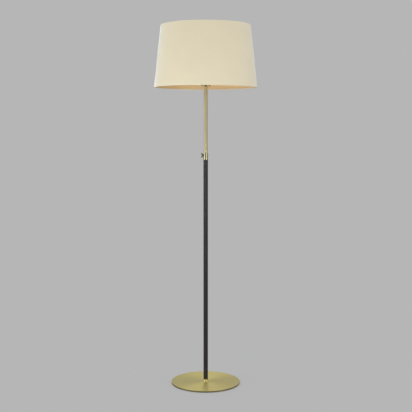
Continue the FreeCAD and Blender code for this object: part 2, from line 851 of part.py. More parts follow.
def spider_line(azimuth, start=spider_arm_start):
    """The bends of one spider arm, from the hub out and up to the middle of the top ring's wire."""
    ring_r, ring_z = ring_place(shade_h - fabric_t / 2 - hem_turn_r)
    level = hub_top + frame_wire_r
    bends = ((start, level), (ring_r - spider_arm_rise_from, level), (ring_r, ring_z))
    return [flat(bend, azimuth) for bend in bends]


def make_shade():
    low, high = fabric_t / 2, shade_h - fabric_t / 2
    flat_in = fabric_t + liner_t + 3 * hem_gap
    rings = {name: Part.makeTorus(radius, frame_wire_r, FreeCAD.Vector(0, 0, z), UP)
             for name, (radius, z) in (("shade_bottom_ring", ring_place(low + hem_turn_r)),
                                       ("shade_top_ring", ring_place(high - hem_turn_r)))}
    for name, ring in rings.items():
        save(name, ring)

    save("spider_hub", pipe(spider_hub_r, stud_r + turn_gap, hub_bottom, hub_top))
    ring_r, ring_z = ring_place(high - hem_turn_r)
    weld = Part.makeTorus(ring_r, frame_wire_r + fit_gap, FreeCAD.Vector(0, 0, ring_z), UP)
    arms = []
    notches = []
    for k in range(spider_arms):
        line = spider_line(90 + 360 / spider_arms * k)
        arm = wire_rod(line, [spider_bend_r], frame_wire_r).cut(weld)
        arms.append(max(arm.Solids, key=lambda solid: solid.Volume))
        way = line[2] - line[1]
        notches.append(Part.makeCylinder(frame_wire_r + notch_gap, way.Length, line[1], way))
    save("spider_arms", *arms)

    line = [
        wall_point(low + hem_h, flat_in),
        wall_point(low + hem_turn_r + hem_slope_h, flat_in),
        wall_point(low + hem_turn_r + hem_shelf_h, 2 * hem_turn_r),
        wall_point(low, 2 * hem_turn_r),
        wall_point(low),
        wall_point(high),
        wall_point(high, 2 * hem_turn_r),
        wall_point(high - hem_turn_r - hem_shelf_h, 2 * hem_turn_r),
        wall_point(high - hem_turn_r - hem_slope_h, flat_in),
        wall_point(high - hem_h, flat_in),
    ]
    hem_bends = [hem_wall_bend_r, hem_shelf_bend_r, hem_turn_r, hem_turn_r]
    fabric = strip_face(line, hem_bends + hem_bends[::-1], fabric_t).revolve(ORIGIN, UP, 360)
    save("shade_fabric", fabric.cut(notches))

    start = fabric_t / 2 + hem_gap
    foot = low + 2 * hem_turn_r + liner_from_hem
    head = high - 2 * hem_turn_r - liner_from_hem
    save("shade_liner", turned(
        wall_point(foot, start),
        wall_point(head, start),
        wall_point(head, start + liner_t),
        wall_point(foot, start + liner_t),
    ))


# ---------------------------------------------------------------- finial


def make_finial():
    """The washer on the spider's hub, and the turned brass knob that clamps it."""
    bore = stud_r + seat_gap
    washer_low = hub_top + fit_gap
    low = washer_low + finial_washer_t + fit_gap
    save("finial_washer", pipe(finial_base_r, bore, washer_low, washer_low + finial_washer_t))

    bore_top = harp_top + stud_h + finial_bore_spare
    ball_z = low + finial_h - finial_ball_r
    shoulder = (finial_base_r - finial_base_chamfer, low + finial_base_h)
    neck_foot = (finial_neck_r, low + finial_base_h + finial_neck_above_base)
    neck_reach = math.sqrt(finial_ball_r ** 2 - finial_neck_r ** 2)
    save("finial", turned(
        (bore, low),
        (finial_base_r, low),
        (finial_base_r, low + finial_base_h - finial_base_chamfer),
        shoulder,
        bowed(shoulder, neck_foot, finial_neck_hollow),
        (finial_neck_r, ball_z - neck_reach),
        ((finial_ball_r, ball_z), (0, ball_z + finial_ball_r)),
        (0, bore_top),
        (bore, bore_top),
    ))


def main():
    os.makedirs(OUT, exist_ok=True)
    make_base()
    make_foot()
    make_stem()
    make_collar()
    make_wing_screw()
    make_mast()
    make_saddle()
    make_harp()
    make_lampholder()
    make_bulb()
    make_shade()
    make_finial()


main()
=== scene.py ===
"""Looks of the telescopic floor lamp: the camera, a plain studio, the finish of every surface, and the soft
and stitched pieces. Metres, in the frame's own axes: +Z up, -Y to the front."""

import json
import math

import bpy
from mathutils import Euler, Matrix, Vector


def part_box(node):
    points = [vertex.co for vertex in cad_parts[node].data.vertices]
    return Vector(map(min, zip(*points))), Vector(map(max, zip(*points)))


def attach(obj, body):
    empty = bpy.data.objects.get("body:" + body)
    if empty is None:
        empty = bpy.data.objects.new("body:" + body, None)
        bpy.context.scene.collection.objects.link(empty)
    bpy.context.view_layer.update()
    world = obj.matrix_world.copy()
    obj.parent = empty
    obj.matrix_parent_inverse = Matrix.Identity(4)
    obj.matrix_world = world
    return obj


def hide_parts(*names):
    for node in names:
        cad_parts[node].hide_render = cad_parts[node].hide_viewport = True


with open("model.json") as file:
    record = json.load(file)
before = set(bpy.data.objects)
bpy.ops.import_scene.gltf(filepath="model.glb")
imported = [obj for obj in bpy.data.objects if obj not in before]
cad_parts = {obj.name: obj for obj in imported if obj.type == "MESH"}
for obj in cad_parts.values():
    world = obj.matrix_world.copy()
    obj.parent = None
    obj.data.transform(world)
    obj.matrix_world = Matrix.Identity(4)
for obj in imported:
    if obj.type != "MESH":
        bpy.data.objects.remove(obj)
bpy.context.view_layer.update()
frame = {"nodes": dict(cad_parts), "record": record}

MM = 0.001

# The azimuth of the back, in degrees from +X, where the seams of the shade and of the sleeve are.
SEAM_AZIMUTH = 90.0


# ---------------------------------------------------------------- camera and lights

# The camera was fitted to the photo's rims, plate and stem. Its pitch is in degrees below level.
LENS_MM = 74.1
SENSOR_MM = 36.0
CAMERA_SIDE = 0.0013
CAMERA_BACK = 3.722
CAMERA_UP = 1.129
CAMERA_PITCH = 5.12

# How far the lights round the lamp are from it, the low light's spread in degrees, and a bluish tint.
LIGHT_DISTANCE = 2.7
NARROW = 55.0
COOL_WHITE = (0.80, 0.91, 1.0)


def make_camera():
    data = bpy.data.cameras.new("camera")
    data.lens = LENS_MM
    data.sensor_width = SENSOR_MM
    camera = bpy.data.objects.new("camera", data)
    camera.location = (CAMERA_SIDE, -CAMERA_BACK, CAMERA_UP)
    camera.rotation_euler = Euler((math.radians(90 - CAMERA_PITCH), 0, 0))
    bpy.context.collection.objects.link(camera)
    bpy.context.scene.camera = camera


def area_light(name, place, target, size, power, spread=180.0, tint=(1, 1, 1), mirrored=True):
    """A light of a width and height that faces a target, with its power in watts and its spread in degrees.
    One that isn't mirrored doesn't show in metal."""
    data = bpy.data.lights.new(name, "AREA")
    data.shape = "RECTANGLE"
    data.size, data.size_y = size
    data.energy = power
    data.spread = math.radians(spread)
    data.color = tint
    light = bpy.data.objects.new(name, data)
    light.location = place
    light.rotation_euler = (Vector(target) - Vector(place)).to_track_quat("-Z", "Y").to_euler()
    light.visible_camera = False
    light.visible_glossy = mirrored
    bpy.context.collection.objects.link(light)


def around(azimuth, height):
    """A place at the lights' distance from the stem: degrees to the right of the front, and a height."""
    turn = math.radians(azimuth)
    return LIGHT_DISTANCE * math.sin(turn), -LIGHT_DISTANCE * math.cos(turn), height


def make_lights():
    """A large softbox at the left, a strip at each side of the camera, one above, and a low one for the
    lining. One behind at the left and one at the right lift the shade's back and sides, and don't show in
    the metal."""
    area_light("left_softbox", around(-88, 2.2), target=(0, 0, 1.1), size=(2.0, 1.8), power=11.5)
    area_light("left_strip", around(-60, 1.2), target=(0, 0, 1.2), size=(0.6, 1.4), power=6.6)
    area_light("right_strip", around(50, 1.2), target=(0, 0, 1.2), size=(0.42, 1.4), power=6.0)
    area_light("top_softbox", (-0.3, 0.3, 3.3), target=(0, 0, 0), size=(2.6, 2.6), power=10.0)
    area_light("low_softbox", (-0.3, -1.3, 0.12), target=(0.06, 0.1, 1.38), size=(1.2, 0.5), power=2.5,
               spread=NARROW)
    area_light("back_left", around(-140, 1.9), target=(0, 0, 1.3), size=(1.4, 1.4), power=10.0,
               tint=COOL_WHITE, mirrored=False)
    area_light("right_fill", around(80, 1.9), target=(0, 0, 1.3), size=(1.4, 1.4), power=12.0, mirrored=False)


# ---------------------------------------------------------------- node helpers

# A Mix node's sockets, by the type of its data: its factor, its two values and its result.
MIX_SOCKETS = {"FLOAT": (0, 2, 3, 0), "RGBA": (0, 6, 7, 2)}


class Nodes:
    """A node tree, with short calls for the nodes used here."""

    def __init__(self, tree):
        self.tree = tree
        self.nodes = tree.nodes

    def feed(self, socket, value):
        """Links an output to a socket, or sets the socket to a constant."""
        if isinstance(value, bpy.types.NodeSocket):
            self.tree.links.new(value, socket)
        else:
            socket.default_value = value

    def feed_all(self, sockets, values):
        for socket, value in zip(sockets, values):
            self.feed(socket, value)

    def node(self, kind, **inputs):
        """A new node. Its inputs are fed by name, with an underscore for each space."""
        made = self.nodes.new(kind)
        for name, value in inputs.items():
            self.feed(made.inputs[name.replace("_", " ")], value)
        return made

    def math(self, operation, *values):
        made = self.nodes.new("ShaderNodeMath")
        made.operation = operation
        self.feed_all(made.inputs, values)
        return made.outputs[0]

    def plus(self, first, second):
        return self.math("ADD", first, second)

    def times(self, first, second):
        return self.math("MULTIPLY", first, second)

    def weighted(self, *terms):
        """The sum of the values in (share, value) terms, each times its share."""
        share, value = terms[0]
        total = self.times(value, share)
        for share, value in terms[1:]:
            total = self.plus(total, self.times(value, share))
        return total

    def lifted(self, wave):
        """A wave between -1 and 1 brought to between 0 and 1."""
        return self.plus(self.times(wave, 0.5), 0.5)

    def place(self):
        """The point on the piece, in metres of the frame."""
        return self.node("ShaderNodeTexCoord").outputs["Object"]

    def split(self, vector):
        return self.node("ShaderNodeSeparateXYZ", Vector=vector).outputs

    def join(self, x, y, z):
        return self.node("ShaderNodeCombineXYZ", X=x, Y=y, Z=z).outputs[0]

    def round_axis(self, radius):
        """The point unrolled from round the stem: along the turn at a radius, outwards, and up."""
        x, y, z = self.split(self.place())
        turn = self.math("ARCTAN2", x, self.times(y, -1.0))
        out = self.math("SQRT", self.plus(self.times(x, x), self.times(y, y)))
        return self.times(turn, radius), out, z

    def scaled(self, vector, scale):
        mapping = self.node("ShaderNodeMapping", Vector=vector)
        mapping.inputs["Scale"].default_value = scale
        return mapping.outputs[0]

    def noise(self, vector, scale, detail=3.0, roughness=0.5):
        """Noise with one scale, or with one for each axis."""
        if isinstance(scale, tuple):
            vector, scale = self.scaled(vector, scale), 1.0
        made = self.node("ShaderNodeTexNoise", Vector=vector, Scale=scale, Detail=detail, Roughness=roughness)
        return made.outputs["Fac"]

    def ramp(self, value, start, end, low, high, smooth=False):
        """A number that goes from low to high as value goes from start to end, and stays there."""
        made = self.node("ShaderNodeMapRange", Value=value, From_Min=start, From_Max=end, To_Min=low,
                         To_Max=high)
        if smooth:
            made.interpolation_type = "SMOOTHSTEP"
        return made.outputs[0]

    def between(self, share, low, high):
        """A number that goes from low to high as share goes from 0 to 1, and stays there."""
        return self.ramp(share, 0.0, 1.0, low, high)

    def mix(self, kind, *values):
        made = self.nodes.new("ShaderNodeMix")
        made.data_type = kind
        *sockets, result = MIX_SOCKETS[kind]
        self.feed_all([made.inputs[k] for k in sockets], values)
        return made.outputs[result]

    def blend(self, share, low, high):
        """A number that goes from low to high with a share."""
        return self.mix("FLOAT", share, low, high)

    def blend_colour(self, share, low, high):
        """A colour that goes from low to high with a share."""
        return self.mix("RGBA", share, low, high)

    def blend_shader(self, share, low, high):
        """A shader that goes from low to high with a share."""
        made = self.nodes.new("ShaderNodeMixShader")
        self.feed_all(made.inputs, (share, low, high))
        return made.outputs[0]

    def colours(self, factor, *stops):
        """A colour that follows factor through (position, colour) stops."""
        ramp = self.node("ShaderNodeValToRGB", Fac=factor)
        elements = ramp.color_ramp.elements
        while len(elements) < len(stops):
            elements.new(0.5)
        for element, (position, colour) in zip(elements, stops):
            element.position = position
            element.color = (*colour, 1)
        return ramp.outputs[0]

    def bump(self, height, strength, distance, under=None):
        """A normal that follows a height between 0 and 1, a distance deep, over another bump if any."""
        made = self.node("ShaderNodeBump", Height=height, Strength=strength, Distance=distance)
        if under is not None:
            self.feed(made.inputs["Normal"], under)
        return made.outputs[0]


# Every finish, by its name.
MATERIALS = {}


class Shader(Nodes):
    """A finish with one Principled shader, and its constants."""

    def __init__(self, name, **constants):
        material = bpy.data.materials.new(name)
        material.use_nodes = True
        super().__init__(material.node_tree)
        self.set(**constants)
        MATERIALS[name] = material

    def set(self, **values):
        """Feeds the shader's inputs by name, with an underscore for each space."""
        for name, value in values.items():
            self.feed(self.nodes["Principled BSDF"].inputs[name.replace("_", " ")], value)


# ---------------------------------------------------------------- mesh helpers


def mesh_object(name, points, faces, material):
    mesh = bpy.data.meshes.new(name)
    mesh.from_pydata(points, [], faces)
    mesh.validate()
    mesh.materials.append(material)
    made = bpy.data.objects.new(name, mesh)
    bpy.context.collection.objects.link(made)
    return made


def mesh_piece(name, points, faces, finish, body):
    """A new smooth piece in a finish, from points and faces. It rides on a body."""
    piece = mesh_object(name, points, faces, MATERIALS[finish])
    for polygon in piece.data.polygons:
        polygon.use_smooth = True
    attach(piece, body)
    return piece


def arc(centre, radius, start, end, steps):
    """Points (radius, height) on an arc about a centre, from one angle to another in degrees."""
    points = []
    for k in range(steps + 1):
        angle = math.radians(start + (end - start) * k / steps)
        points.append((centre[0] + radius * math.cos(angle), centre[1] + radius * math.sin(angle)))
    return points


def offset_line(line, distance):
    """An open line of (radius, height) points moved sideways to its left by a distance."""
    moved = []
    for k, point in enumerate(line):
        before = line[max(0, k - 1)]
        after = line[min(len(line) - 1, k + 1)]
        way = Vector((after[0] - before[0], after[1] - before[1])).normalized()
        moved.append((point[0] - way.y * distance, point[1] + way.x * distance))
    return moved


def thickened(line, thickness):
    """A closed section: a line, and back along its left side."""
    return line + offset_line(line, thickness)[::-1]


def azimuths_round(sides, half, shares, clear):
    """Azimuths round the axis. Beside the seam they are at shares of an angle, and the evenly spaced ones
    nearer than the clear share are left out."""
    even = [360 * k / sides for k in range(sides)]
    kept = [azimuth for azimuth in even if abs(azimuth - SEAM_AZIMUTH) > half * clear]
    beside = [SEAM_AZIMUTH + half * side * share for side in (-1, 1) for share in shares]
    return sorted(set(kept + beside))


def spun(name, section, azimuths, slot, body, reshape):
    """A closed section turned round the axis, in the finish of a slot. reshape gives each point's radius
    and height from its radius, height and azimuth."""
    points = []
    for azimuth in azimuths:
        turn = math.radians(azimuth)
        for radius, height in section:
            radius, height = reshape(radius, height, azimuth)
            points.append((radius * math.cos(turn), radius * math.sin(turn), height))
    count = len(section)
    faces = []
    for k in range(len(azimuths)):
        here = k * count
        following = ((k + 1) % len(azimuths)) * count
        for j in range(count):
            after = (j + 1) % count
            faces.append((here + j, following + j, following + after, here + after))
    return mesh_piece(name, points, faces, slot, body)


# ---------------------------------------------------------------- floor and world

# The grey that the camera sees, the floor's own grey where it is lit, the one that it lights the object
# with, the one that metal shows for its far parts, and the colour that these greys scale.
BACKDROP = 0.468
FLOOR_ALBEDO = 0.42
BOUNCE_ALBEDO = 0.32
FAR_FLOOR = 0.20
WHITE = (1, 1, 1, 1)

# The room's light on matt surfaces, and its front, sides and ceiling in metal and glass.
ROOM_LIGHT = 0.85
ROOM_FRONT = 0.24
ROOM_SIDE = 0.18
ROOM_TOP = 0.85

# The floor lies a little below the felt, and reaches under its edge.
FLOOR_R = 40.0
FLOOR_SIDES = 96
FLOOR_GAP = 0.2 * MM
FELT_OVERLAP = 2.5 * MM

# The share of lit floor near the base, and the distances from the stem between which it goes to none.
SHADOW_SHARE = 0.35
SHADOW_REACH = (0.2, 1.1)

# The distances between which the floor in a reflection goes from the backdrop's grey to the far one.
FAR_REACH = (2.0, 8.0)

# Where the room's surfaces change into each other, as parts of a direction's length along Y and Z.
FRONT_TO_SIDE = (-1.0, -0.2)
SIDE_TO_BACK = (0.5, 0.95)
WALL_TO_TOP = (0.3, 0.8)


def floor_grey():
    """The backdrop's grey, with a share of lit surface near the base that takes the soft shadow. From below
    it is clear, so that the object's underside can be looked at."""
    material = bpy.data.materials.new("floor_grey")
    material.use_nodes = True
    n = Nodes(material.node_tree)
    n.nodes.clear()
    path = n.nodes.new("ShaderNodeLightPath").outputs
    seen = n.math("MAXIMUM", n.math("MAXIMUM", path["Is Camera Ray"], path["Is Glossy Ray"]),
                  path["Is Transmission Ray"])
    length = n.nodes.new("ShaderNodeVectorMath")
    length.operation = "LENGTH"
    n.feed(length.inputs[0], n.place())
    away = length.outputs["Value"]
    tone = n.blend(seen, BOUNCE_ALBEDO, FLOOR_ALBEDO)
    lit = n.node("ShaderNodeBsdfDiffuse", Color=n.join(tone, tone, tone))
    mirrored = n.times(path["Is Glossy Ray"], n.ramp(away, *FAR_REACH, 0.0, 1.0, True))
    glow = n.node("ShaderNodeEmission", Color=WHITE, Strength=n.blend(mirrored, BACKDROP, FAR_FLOOR))
    glowing = n.times(seen, n.ramp(away, *SHADOW_REACH, 1 - SHADOW_SHARE, 1.0, True))
    top = n.blend_shader(glowing, lit.outputs[0], glow.outputs[0])
    below = n.nodes.new("ShaderNodeNewGeometry").outputs["Backfacing"]
    surface = n.blend_shader(below, top, n.node("ShaderNodeBsdfTransparent").outputs[0])
    n.node("ShaderNodeOutputMaterial", Surface=surface)
    return material


def make_floor():
    """A wide disc. It is open under the felt, where that doesn't show, so that the underside gets light."""
    turns = [2 * math.pi * k / FLOOR_SIDES for k in range(FLOOR_SIDES)]
    open_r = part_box("felt_pad")[1][0] - FELT_OVERLAP
    points = [(r * math.cos(t), r * math.sin(t), -FLOOR_GAP) for r in (open_r, FLOOR_R) for t in turns]
    faces = []
    for k in range(FLOOR_SIDES):
        after = (k + 1) % FLOOR_SIDES
        faces.append((k, FLOOR_SIDES + k, FLOOR_SIDES + after, after))
    mesh_object("floor", points, faces, floor_grey())


def make_world():
    """A grey room. In a reflection its walls beside the object are darker than the backdrop, and its
    ceiling is lighter."""
    world = bpy.data.worlds.new("studio")
    world.use_nodes = True
    bpy.context.scene.world = world
    n = Nodes(world.node_tree)
    _, y, z = n.split(n.nodes.new("ShaderNodeTexCoord").outputs["Generated"])
    near_walls = n.ramp(y, *FRONT_TO_SIDE, ROOM_FRONT, ROOM_SIDE)
    walls = n.blend(n.ramp(y, *SIDE_TO_BACK, 0.0, 1.0, True), near_walls, BACKDROP)
    mirrored = n.blend(n.ramp(z, *WALL_TO_TOP, 0.0, 1.0, True), walls, ROOM_TOP)
    path = n.nodes.new("ShaderNodeLightPath").outputs
    sharp = n.math("MAXIMUM", path["Is Glossy Ray"], path["Is Transmission Ray"])
    back = n.nodes["Background"]
    back.inputs["Color"].default_value = WHITE
    light = n.blend(sharp, ROOM_LIGHT, mirrored)
    n.feed(back.inputs["Strength"], n.blend(path["Is Camera Ray"], light, BACKDROP))


# ---------------------------------------------------------------- metals

# The plate: the radius at which the length of its brush marks is true, how often its rings, its broad bands
# and its clouds change, and its colours.
BRUSH_RADIUS = 0.12
PLATE_RINGS = (4.0, 2600.0, 1.0)
PLATE_BANDS = (2.0, 260.0, 1.0)
PLATE_CLOUD = 9.0
PLATE_DARK = (0.60, 0.515, 0.19)
PLATE_LIGHT = (0.72, 0.625, 0.25)

# The plate's rounded rim, painted darker as shade: how far in it starts, and how far below the top its
# painted shade begins and is full.
RIM_IN = 0.9 * MM
RIM_TOP = 0.1 * MM
RIM_FULL = 0.5 * MM
PAINTED_RIM_SHADE = (0.27, 0.225, 0.12, 1)

# How often a metal's marks change along X, Y and Z, where it was drawn along the axis or turned round it,
# and how often its clouds do.
DRAWN = (900.0, 900.0, 40.0)
TURNED = (60.0, 60.0, 2500.0)
METAL_CLOUD = 30.0

# The least and the most of a metal's roughness over its surface, as shares of what is given.
METAL_SPREAD = (0.85, 1.2)

# The nipple's thread: its pitch, its depth as a share of the pitch, and the share of its colour left in its
# grooves by painted shade.
NIPPLE_PITCH = 1.0 * MM
THREAD_DEPTH = 0.35
PAINTED_GROOVE_SHADE = 0.45


def times_all(values, factor):
    return tuple(value * factor for value in values)


def brushed_brass():
    """Lacquered brass, brushed in circles round the stem, with a rim painted darker as shade."""
    s = Shader("brushed_brass", Metallic=1.0, Anisotropic=0.62, Anisotropic_Rotation=0.25, Coat_Weight=0.06,
               Coat_Roughness=0.25)
    along, out, up = s.round_axis(BRUSH_RADIUS)
    disc = s.join(along, out, 0.0)
    rings = s.noise(disc, PLATE_RINGS, detail=2.0, roughness=0.7)
    bands = s.noise(disc, PLATE_BANDS, detail=2.0)
    cloud = s.noise(s.place(), PLATE_CLOUD)
    tint = s.weighted((0.4, rings), (0.35, bands), (0.25, cloud))
    face = s.colours(tint, (0.3, PLATE_DARK), (0.7, PLATE_LIGHT))
    plate_r, _, plate_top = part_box("base_plate")[1]
    # The rim below the plate's top and near its edge is painted darker, as shade.
    rim = s.times(s.math("GREATER_THAN", out, plate_r - RIM_IN),
                  s.ramp(up, plate_top - RIM_FULL, plate_top - RIM_TOP, 1.0, 0.0))
    tangent = s.node("ShaderNodeTangent")
    tangent.direction_type = "RADIAL"
    tangent.axis = "Z"
    s.set(Base_Color=s.blend_colour(rim, face, PAINTED_RIM_SHADE), Roughness=s.between(bands, 0.38, 0.50),
          Tangent=tangent.outputs[0], Normal=s.bump(rings, strength=0.12, distance=0.4 * MM))


def worked_metal(name, dark, light, roughness, marks, bump):
    """A metal with fine lathe or drawing marks, between a dark and a light colour."""
    s = Shader(name, Metallic=1.0)
    lines = s.noise(s.place(), marks, detail=2.0, roughness=0.6)
    cloud = s.noise(s.place(), METAL_CLOUD, detail=4.0)
    colour = s.colours(s.weighted((0.5, lines), (0.5, cloud)), (0.32, dark), (0.68, light))
    rough = s.between(lines, *times_all(METAL_SPREAD, roughness))
    s.set(Base_Color=colour, Roughness=rough, Normal=s.bump(lines, bump, distance=0.2 * MM))


def threaded(name, colour, pitch):
    """A metal with a rolled thread of a pitch in metres, with painted shade darker between its ridges."""
    s = Shader(name, Metallic=1.0, Roughness=0.32)
    x, y, z = s.split(s.place())
    phase = s.math("SUBTRACT", s.times(z, 2 * math.pi / pitch), s.math("ARCTAN2", y, x))
    ridge = s.lifted(s.math("SINE", phase))
    # The grooves are painted darker, as shade.
    tint = s.colours(ridge, (0.0, times_all(colour, PAINTED_GROOVE_SHADE)), (0.75, colour))
    s.set(Base_Color=tint, Normal=s.bump(ridge, strength=0.6, distance=THREAD_DEPTH * pitch))


# ---------------------------------------------------------------- leather, felt, rubber, plastics, porcelain

# The leather's pebbles: how many for each metre, how they stretch along X, Y and Z, and their height's gain.
PEBBLES = 1500.0
PEBBLE_STRETCH = (1.0, 1.0, 0.7)
PEBBLE_GAIN = 1.4

# How often the leather's creases and clouds change along X, Y and Z, and its colours.
LEATHER_CREASES = (120.0, 120.0, 22.0)
LEATHER_CLOUD = (30.0, 30.0, 6.0)
LEATHER_DARK = (0.010, 0.009, 0.009)
LEATHER_LIGHT = (0.030, 0.027, 0.027)

# The felt's fibres and clouds, and its colours.
FELT_FIBRES = 1400.0
FELT_CLOUD = 40.0
FELT_DARK = (0.022, 0.022, 0.024)
FELT_LIGHT = (0.075, 0.075, 0.078)

# A moulded surface's clouds, and its least and most roughness, as shares of what is given.
MOULDED_CLOUD = 25.0
MOULDED_SPREAD = (0.88, 1.12)


def grained_leather():
    """Black leather: fine pebbled grain, faint creases along the stem, and a dull sheen."""
    s = Shader("black_leather", Sheen_Weight=0.08, Sheen_Roughness=0.5, Specular_IOR_Level=0.38)
    place = s.place()
    grain = s.node("ShaderNodeTexVoronoi", Vector=s.scaled(place, PEBBLE_STRETCH), Scale=PEBBLES)
    pebble = s.math("MINIMUM", s.times(grain.outputs["Distance"], PEBBLE_GAIN), 1.0)
    crease = s.noise(place, LEATHER_CREASES, detail=5.0, roughness=0.6)
    cloud = s.noise(place, LEATHER_CLOUD, detail=4.0)
    tint = s.weighted((0.5, pebble), (0.5, cloud))
    colour = s.colours(tint, (0.25, LEATHER_DARK), (0.75, LEATHER_LIGHT))
    rough = s.plus(s.between(crease, 0.44, 0.60), s.times(pebble, 0.10))
    fine = s.bump(pebble, strength=0.7, distance=0.26 * MM)
    s.set(Base_Color=colour, Roughness=rough,
          Normal=s.bump(crease, strength=0.3, distance=0.4 * MM, under=fine))


def felted():
    """Dark grey felt with loose fibres."""
    s = Shader("felt", Roughness=0.95, Sheen_Weight=0.15, Sheen_Roughness=0.6)
    fibres = s.noise(s.place(), FELT_FIBRES, detail=6.0, roughness=0.75)
    cloud = s.noise(s.place(), FELT_CLOUD)
    tint = s.weighted((0.7, fibres), (0.3, cloud))
    colour = s.colours(tint, (0.3, FELT_DARK), (0.7, FELT_LIGHT))
    s.set(Base_Color=colour, Normal=s.bump(fibres, strength=0.8, distance=0.5 * MM))


def moulded(name, dark, light, roughness, grain, bump, **constants):
    """A moulded or fired surface with a fine grain, between a dark and a light colour."""
    s = Shader(name, **constants)
    fine = s.noise(s.place(), grain, roughness=0.6)
    cloud = s.noise(s.place(), MOULDED_CLOUD)
    colour = s.colours(cloud, (0.35, dark), (0.65, light))
    rough = s.between(fine, *times_all(MOULDED_SPREAD, roughness))
    s.set(Base_Color=colour, Roughness=rough, Normal=s.bump(fine, bump, distance=0.2 * MM))


# ---------------------------------------------------------------- cloth

# The weave: its pitch, the radius at which it is true, its share of the tone, how far it wanders in radians
# and how often that changes.
WEAVE_PITCH = 0.62 * MM
WEAVE_RADIUS = 0.21
WEAVE_SHARE = 0.22
WANDER = 2.2
WANDER_SCALE = 60.0

# How often the slubs round the axis, the slubs up the cloth and its clouds change.
SLUBS_ROUND = (25.0, 1500.0, 1.0)
SLUBS_UP = (1500.0, 25.0, 1.0)
CLOTH_CLOUD = 7.0

# The colours of cloth and lining, from dark to light tones. The lining's warm tan is partly painted light,
# the warm light that comes through the cloth and bounces inside.
CLOTH_STOPS = ((0.30, (0.66, 0.59, 0.42)), (0.5, (0.70, 0.63, 0.46)), (0.70, (0.74, 0.67, 0.50)))
LINING_PAINTED_LIGHT_STOPS = ((0.30, (0.70, 0.50, 0.255)), (0.5, (0.76, 0.555, 0.29)), (0.70, (0.82, 0.61, 0.325)))


def woven(name, stops, roughness, slub, **constants):
    """A plain weave that runs round the axis and up, with slubs both ways and a slow change of tone. slub
    is the share of the tone that the slubs give."""
    s = Shader(name, Roughness=roughness, **constants)
    along, _, up = s.round_axis(WEAVE_RADIUS)
    flat = s.join(along, up, 0.0)
    shift = s.times(s.noise(flat, WANDER_SCALE, detail=2.0), WANDER)
    warp = s.math("SINE", s.plus(s.times(along, 2 * math.pi / WEAVE_PITCH), shift))
    weft = s.math("SINE", s.plus(s.times(up, 2 * math.pi / WEAVE_PITCH), shift))
    cloth = s.lifted(s.times(warp, weft))
    level = s.noise(flat, SLUBS_ROUND, roughness=0.6)
    upright = s.noise(flat, SLUBS_UP, roughness=0.6)
    slubs = s.weighted((0.5, level), (0.5, upright))
    cloud = s.noise(flat, CLOTH_CLOUD, detail=4.0)
    tone = s.weighted((slub, slubs), (WEAVE_SHARE, cloth), (1 - WEAVE_SHARE - slub, cloud))
    fine = s.bump(cloth, strength=0.35, distance=0.12 * MM)
    colour = s.colours(tone, *stops)
    s.set(Base_Color=colour, Normal=s.bump(slubs, strength=0.25, distance=0.3 * MM, under=fine))


# ---------------------------------------------------------------- materials on the frame

# Nodes that don't take the finish of their slot. The nipple looks brown in the photo, and the foot ring
# yellower than the collar; the darkness of both is painted shade.
OWN_FINISH_AND_SHADE = {"nipple": "threaded_steel_painted_shade", "foot_ring": "foot_brass_painted_shade"}


def make_materials():
    """Makes every finish. Each is named after its slot in the record, apart from the stitches' thread and
    the ones in OWN_FINISH_AND_SHADE."""
    brushed_brass()
    worked_metal("polished_brass", (0.80, 0.775, 0.43), (0.86, 0.845, 0.52), 0.15, TURNED, bump=0.02)
    # The foot ring's brass is darker than the collar's, and that darkness is painted shade; its yellower tone
    # is its own.
    worked_metal("foot_brass_painted_shade", (0.68, 0.60, 0.25), (0.76, 0.68, 0.31), 0.18, TURNED, bump=0.02)
    worked_metal("satin_brass", (0.69, 0.615, 0.34), (0.77, 0.69, 0.40), 0.44, DRAWN, bump=0.03)
    # Dark bronze is partly the parts' own dark colour and partly painted shade and dark reflection.
    worked_metal("dark_bronze", (0.078, 0.056, 0.033), (0.125, 0.092, 0.056), 0.42, TURNED, bump=0.08)
    worked_metal("zinc_steel", (0.4675, 0.476, 0.4845), (0.55, 0.56, 0.57), 0.36, TURNED, bump=0.06)
    worked_metal("tinned_metal", (0.60, 0.61, 0.62), (0.72, 0.73, 0.74), 0.30, TURNED, bump=0.04)
    # The nipple's dark brown is partly painted shade, under the shade's rim.
    threaded("threaded_steel_painted_shade", (0.30, 0.245, 0.17), NIPPLE_PITCH)
    grained_leather()
    felted()
    moulded("black_rubber", (0.018, 0.018, 0.018), (0.030, 0.030, 0.031), 0.62, grain=1800.0, bump=0.12)
    moulded("nylon", (0.74, 0.72, 0.66), (0.80, 0.78, 0.73), 0.42, grain=1800.0, bump=0.12)
    moulded("porcelain", (0.76, 0.74, 0.70), (0.82, 0.81, 0.77), 0.50, grain=900.0, bump=0.2)
    moulded("black_glass", (0.010, 0.010, 0.012), (0.018, 0.018, 0.020), 0.10, grain=600.0, bump=0.03)
    moulded("white_plastic", (0.77, 0.77, 0.76), (0.82, 0.82, 0.81), 0.40, grain=2400.0, bump=0.10)
    moulded("opal_plastic", (0.80, 0.79, 0.76), (0.85, 0.84, 0.81), 0.28, grain=1200.0, bump=0.04,
            Coat_Weight=0.3, Coat_Roughness=0.2)
    moulded("white_wire", (0.72, 0.71, 0.67), (0.80, 0.79, 0.75), 0.38, grain=700.0, bump=0.15)
    moulded("thread", (0.020, 0.018, 0.017), (0.040, 0.036, 0.033), 0.55, grain=3500.0, bump=0.5)
    woven("shade_fabric", CLOTH_STOPS, roughness=0.86, slub=0.45, Sheen_Weight=0.8, Sheen_Roughness=0.35,
          Sheen_Tint=(0.80, 0.90, 1.0, 1))
    woven("shade_lining", LINING_PAINTED_LIGHT_STOPS, roughness=0.80, slub=0.30)


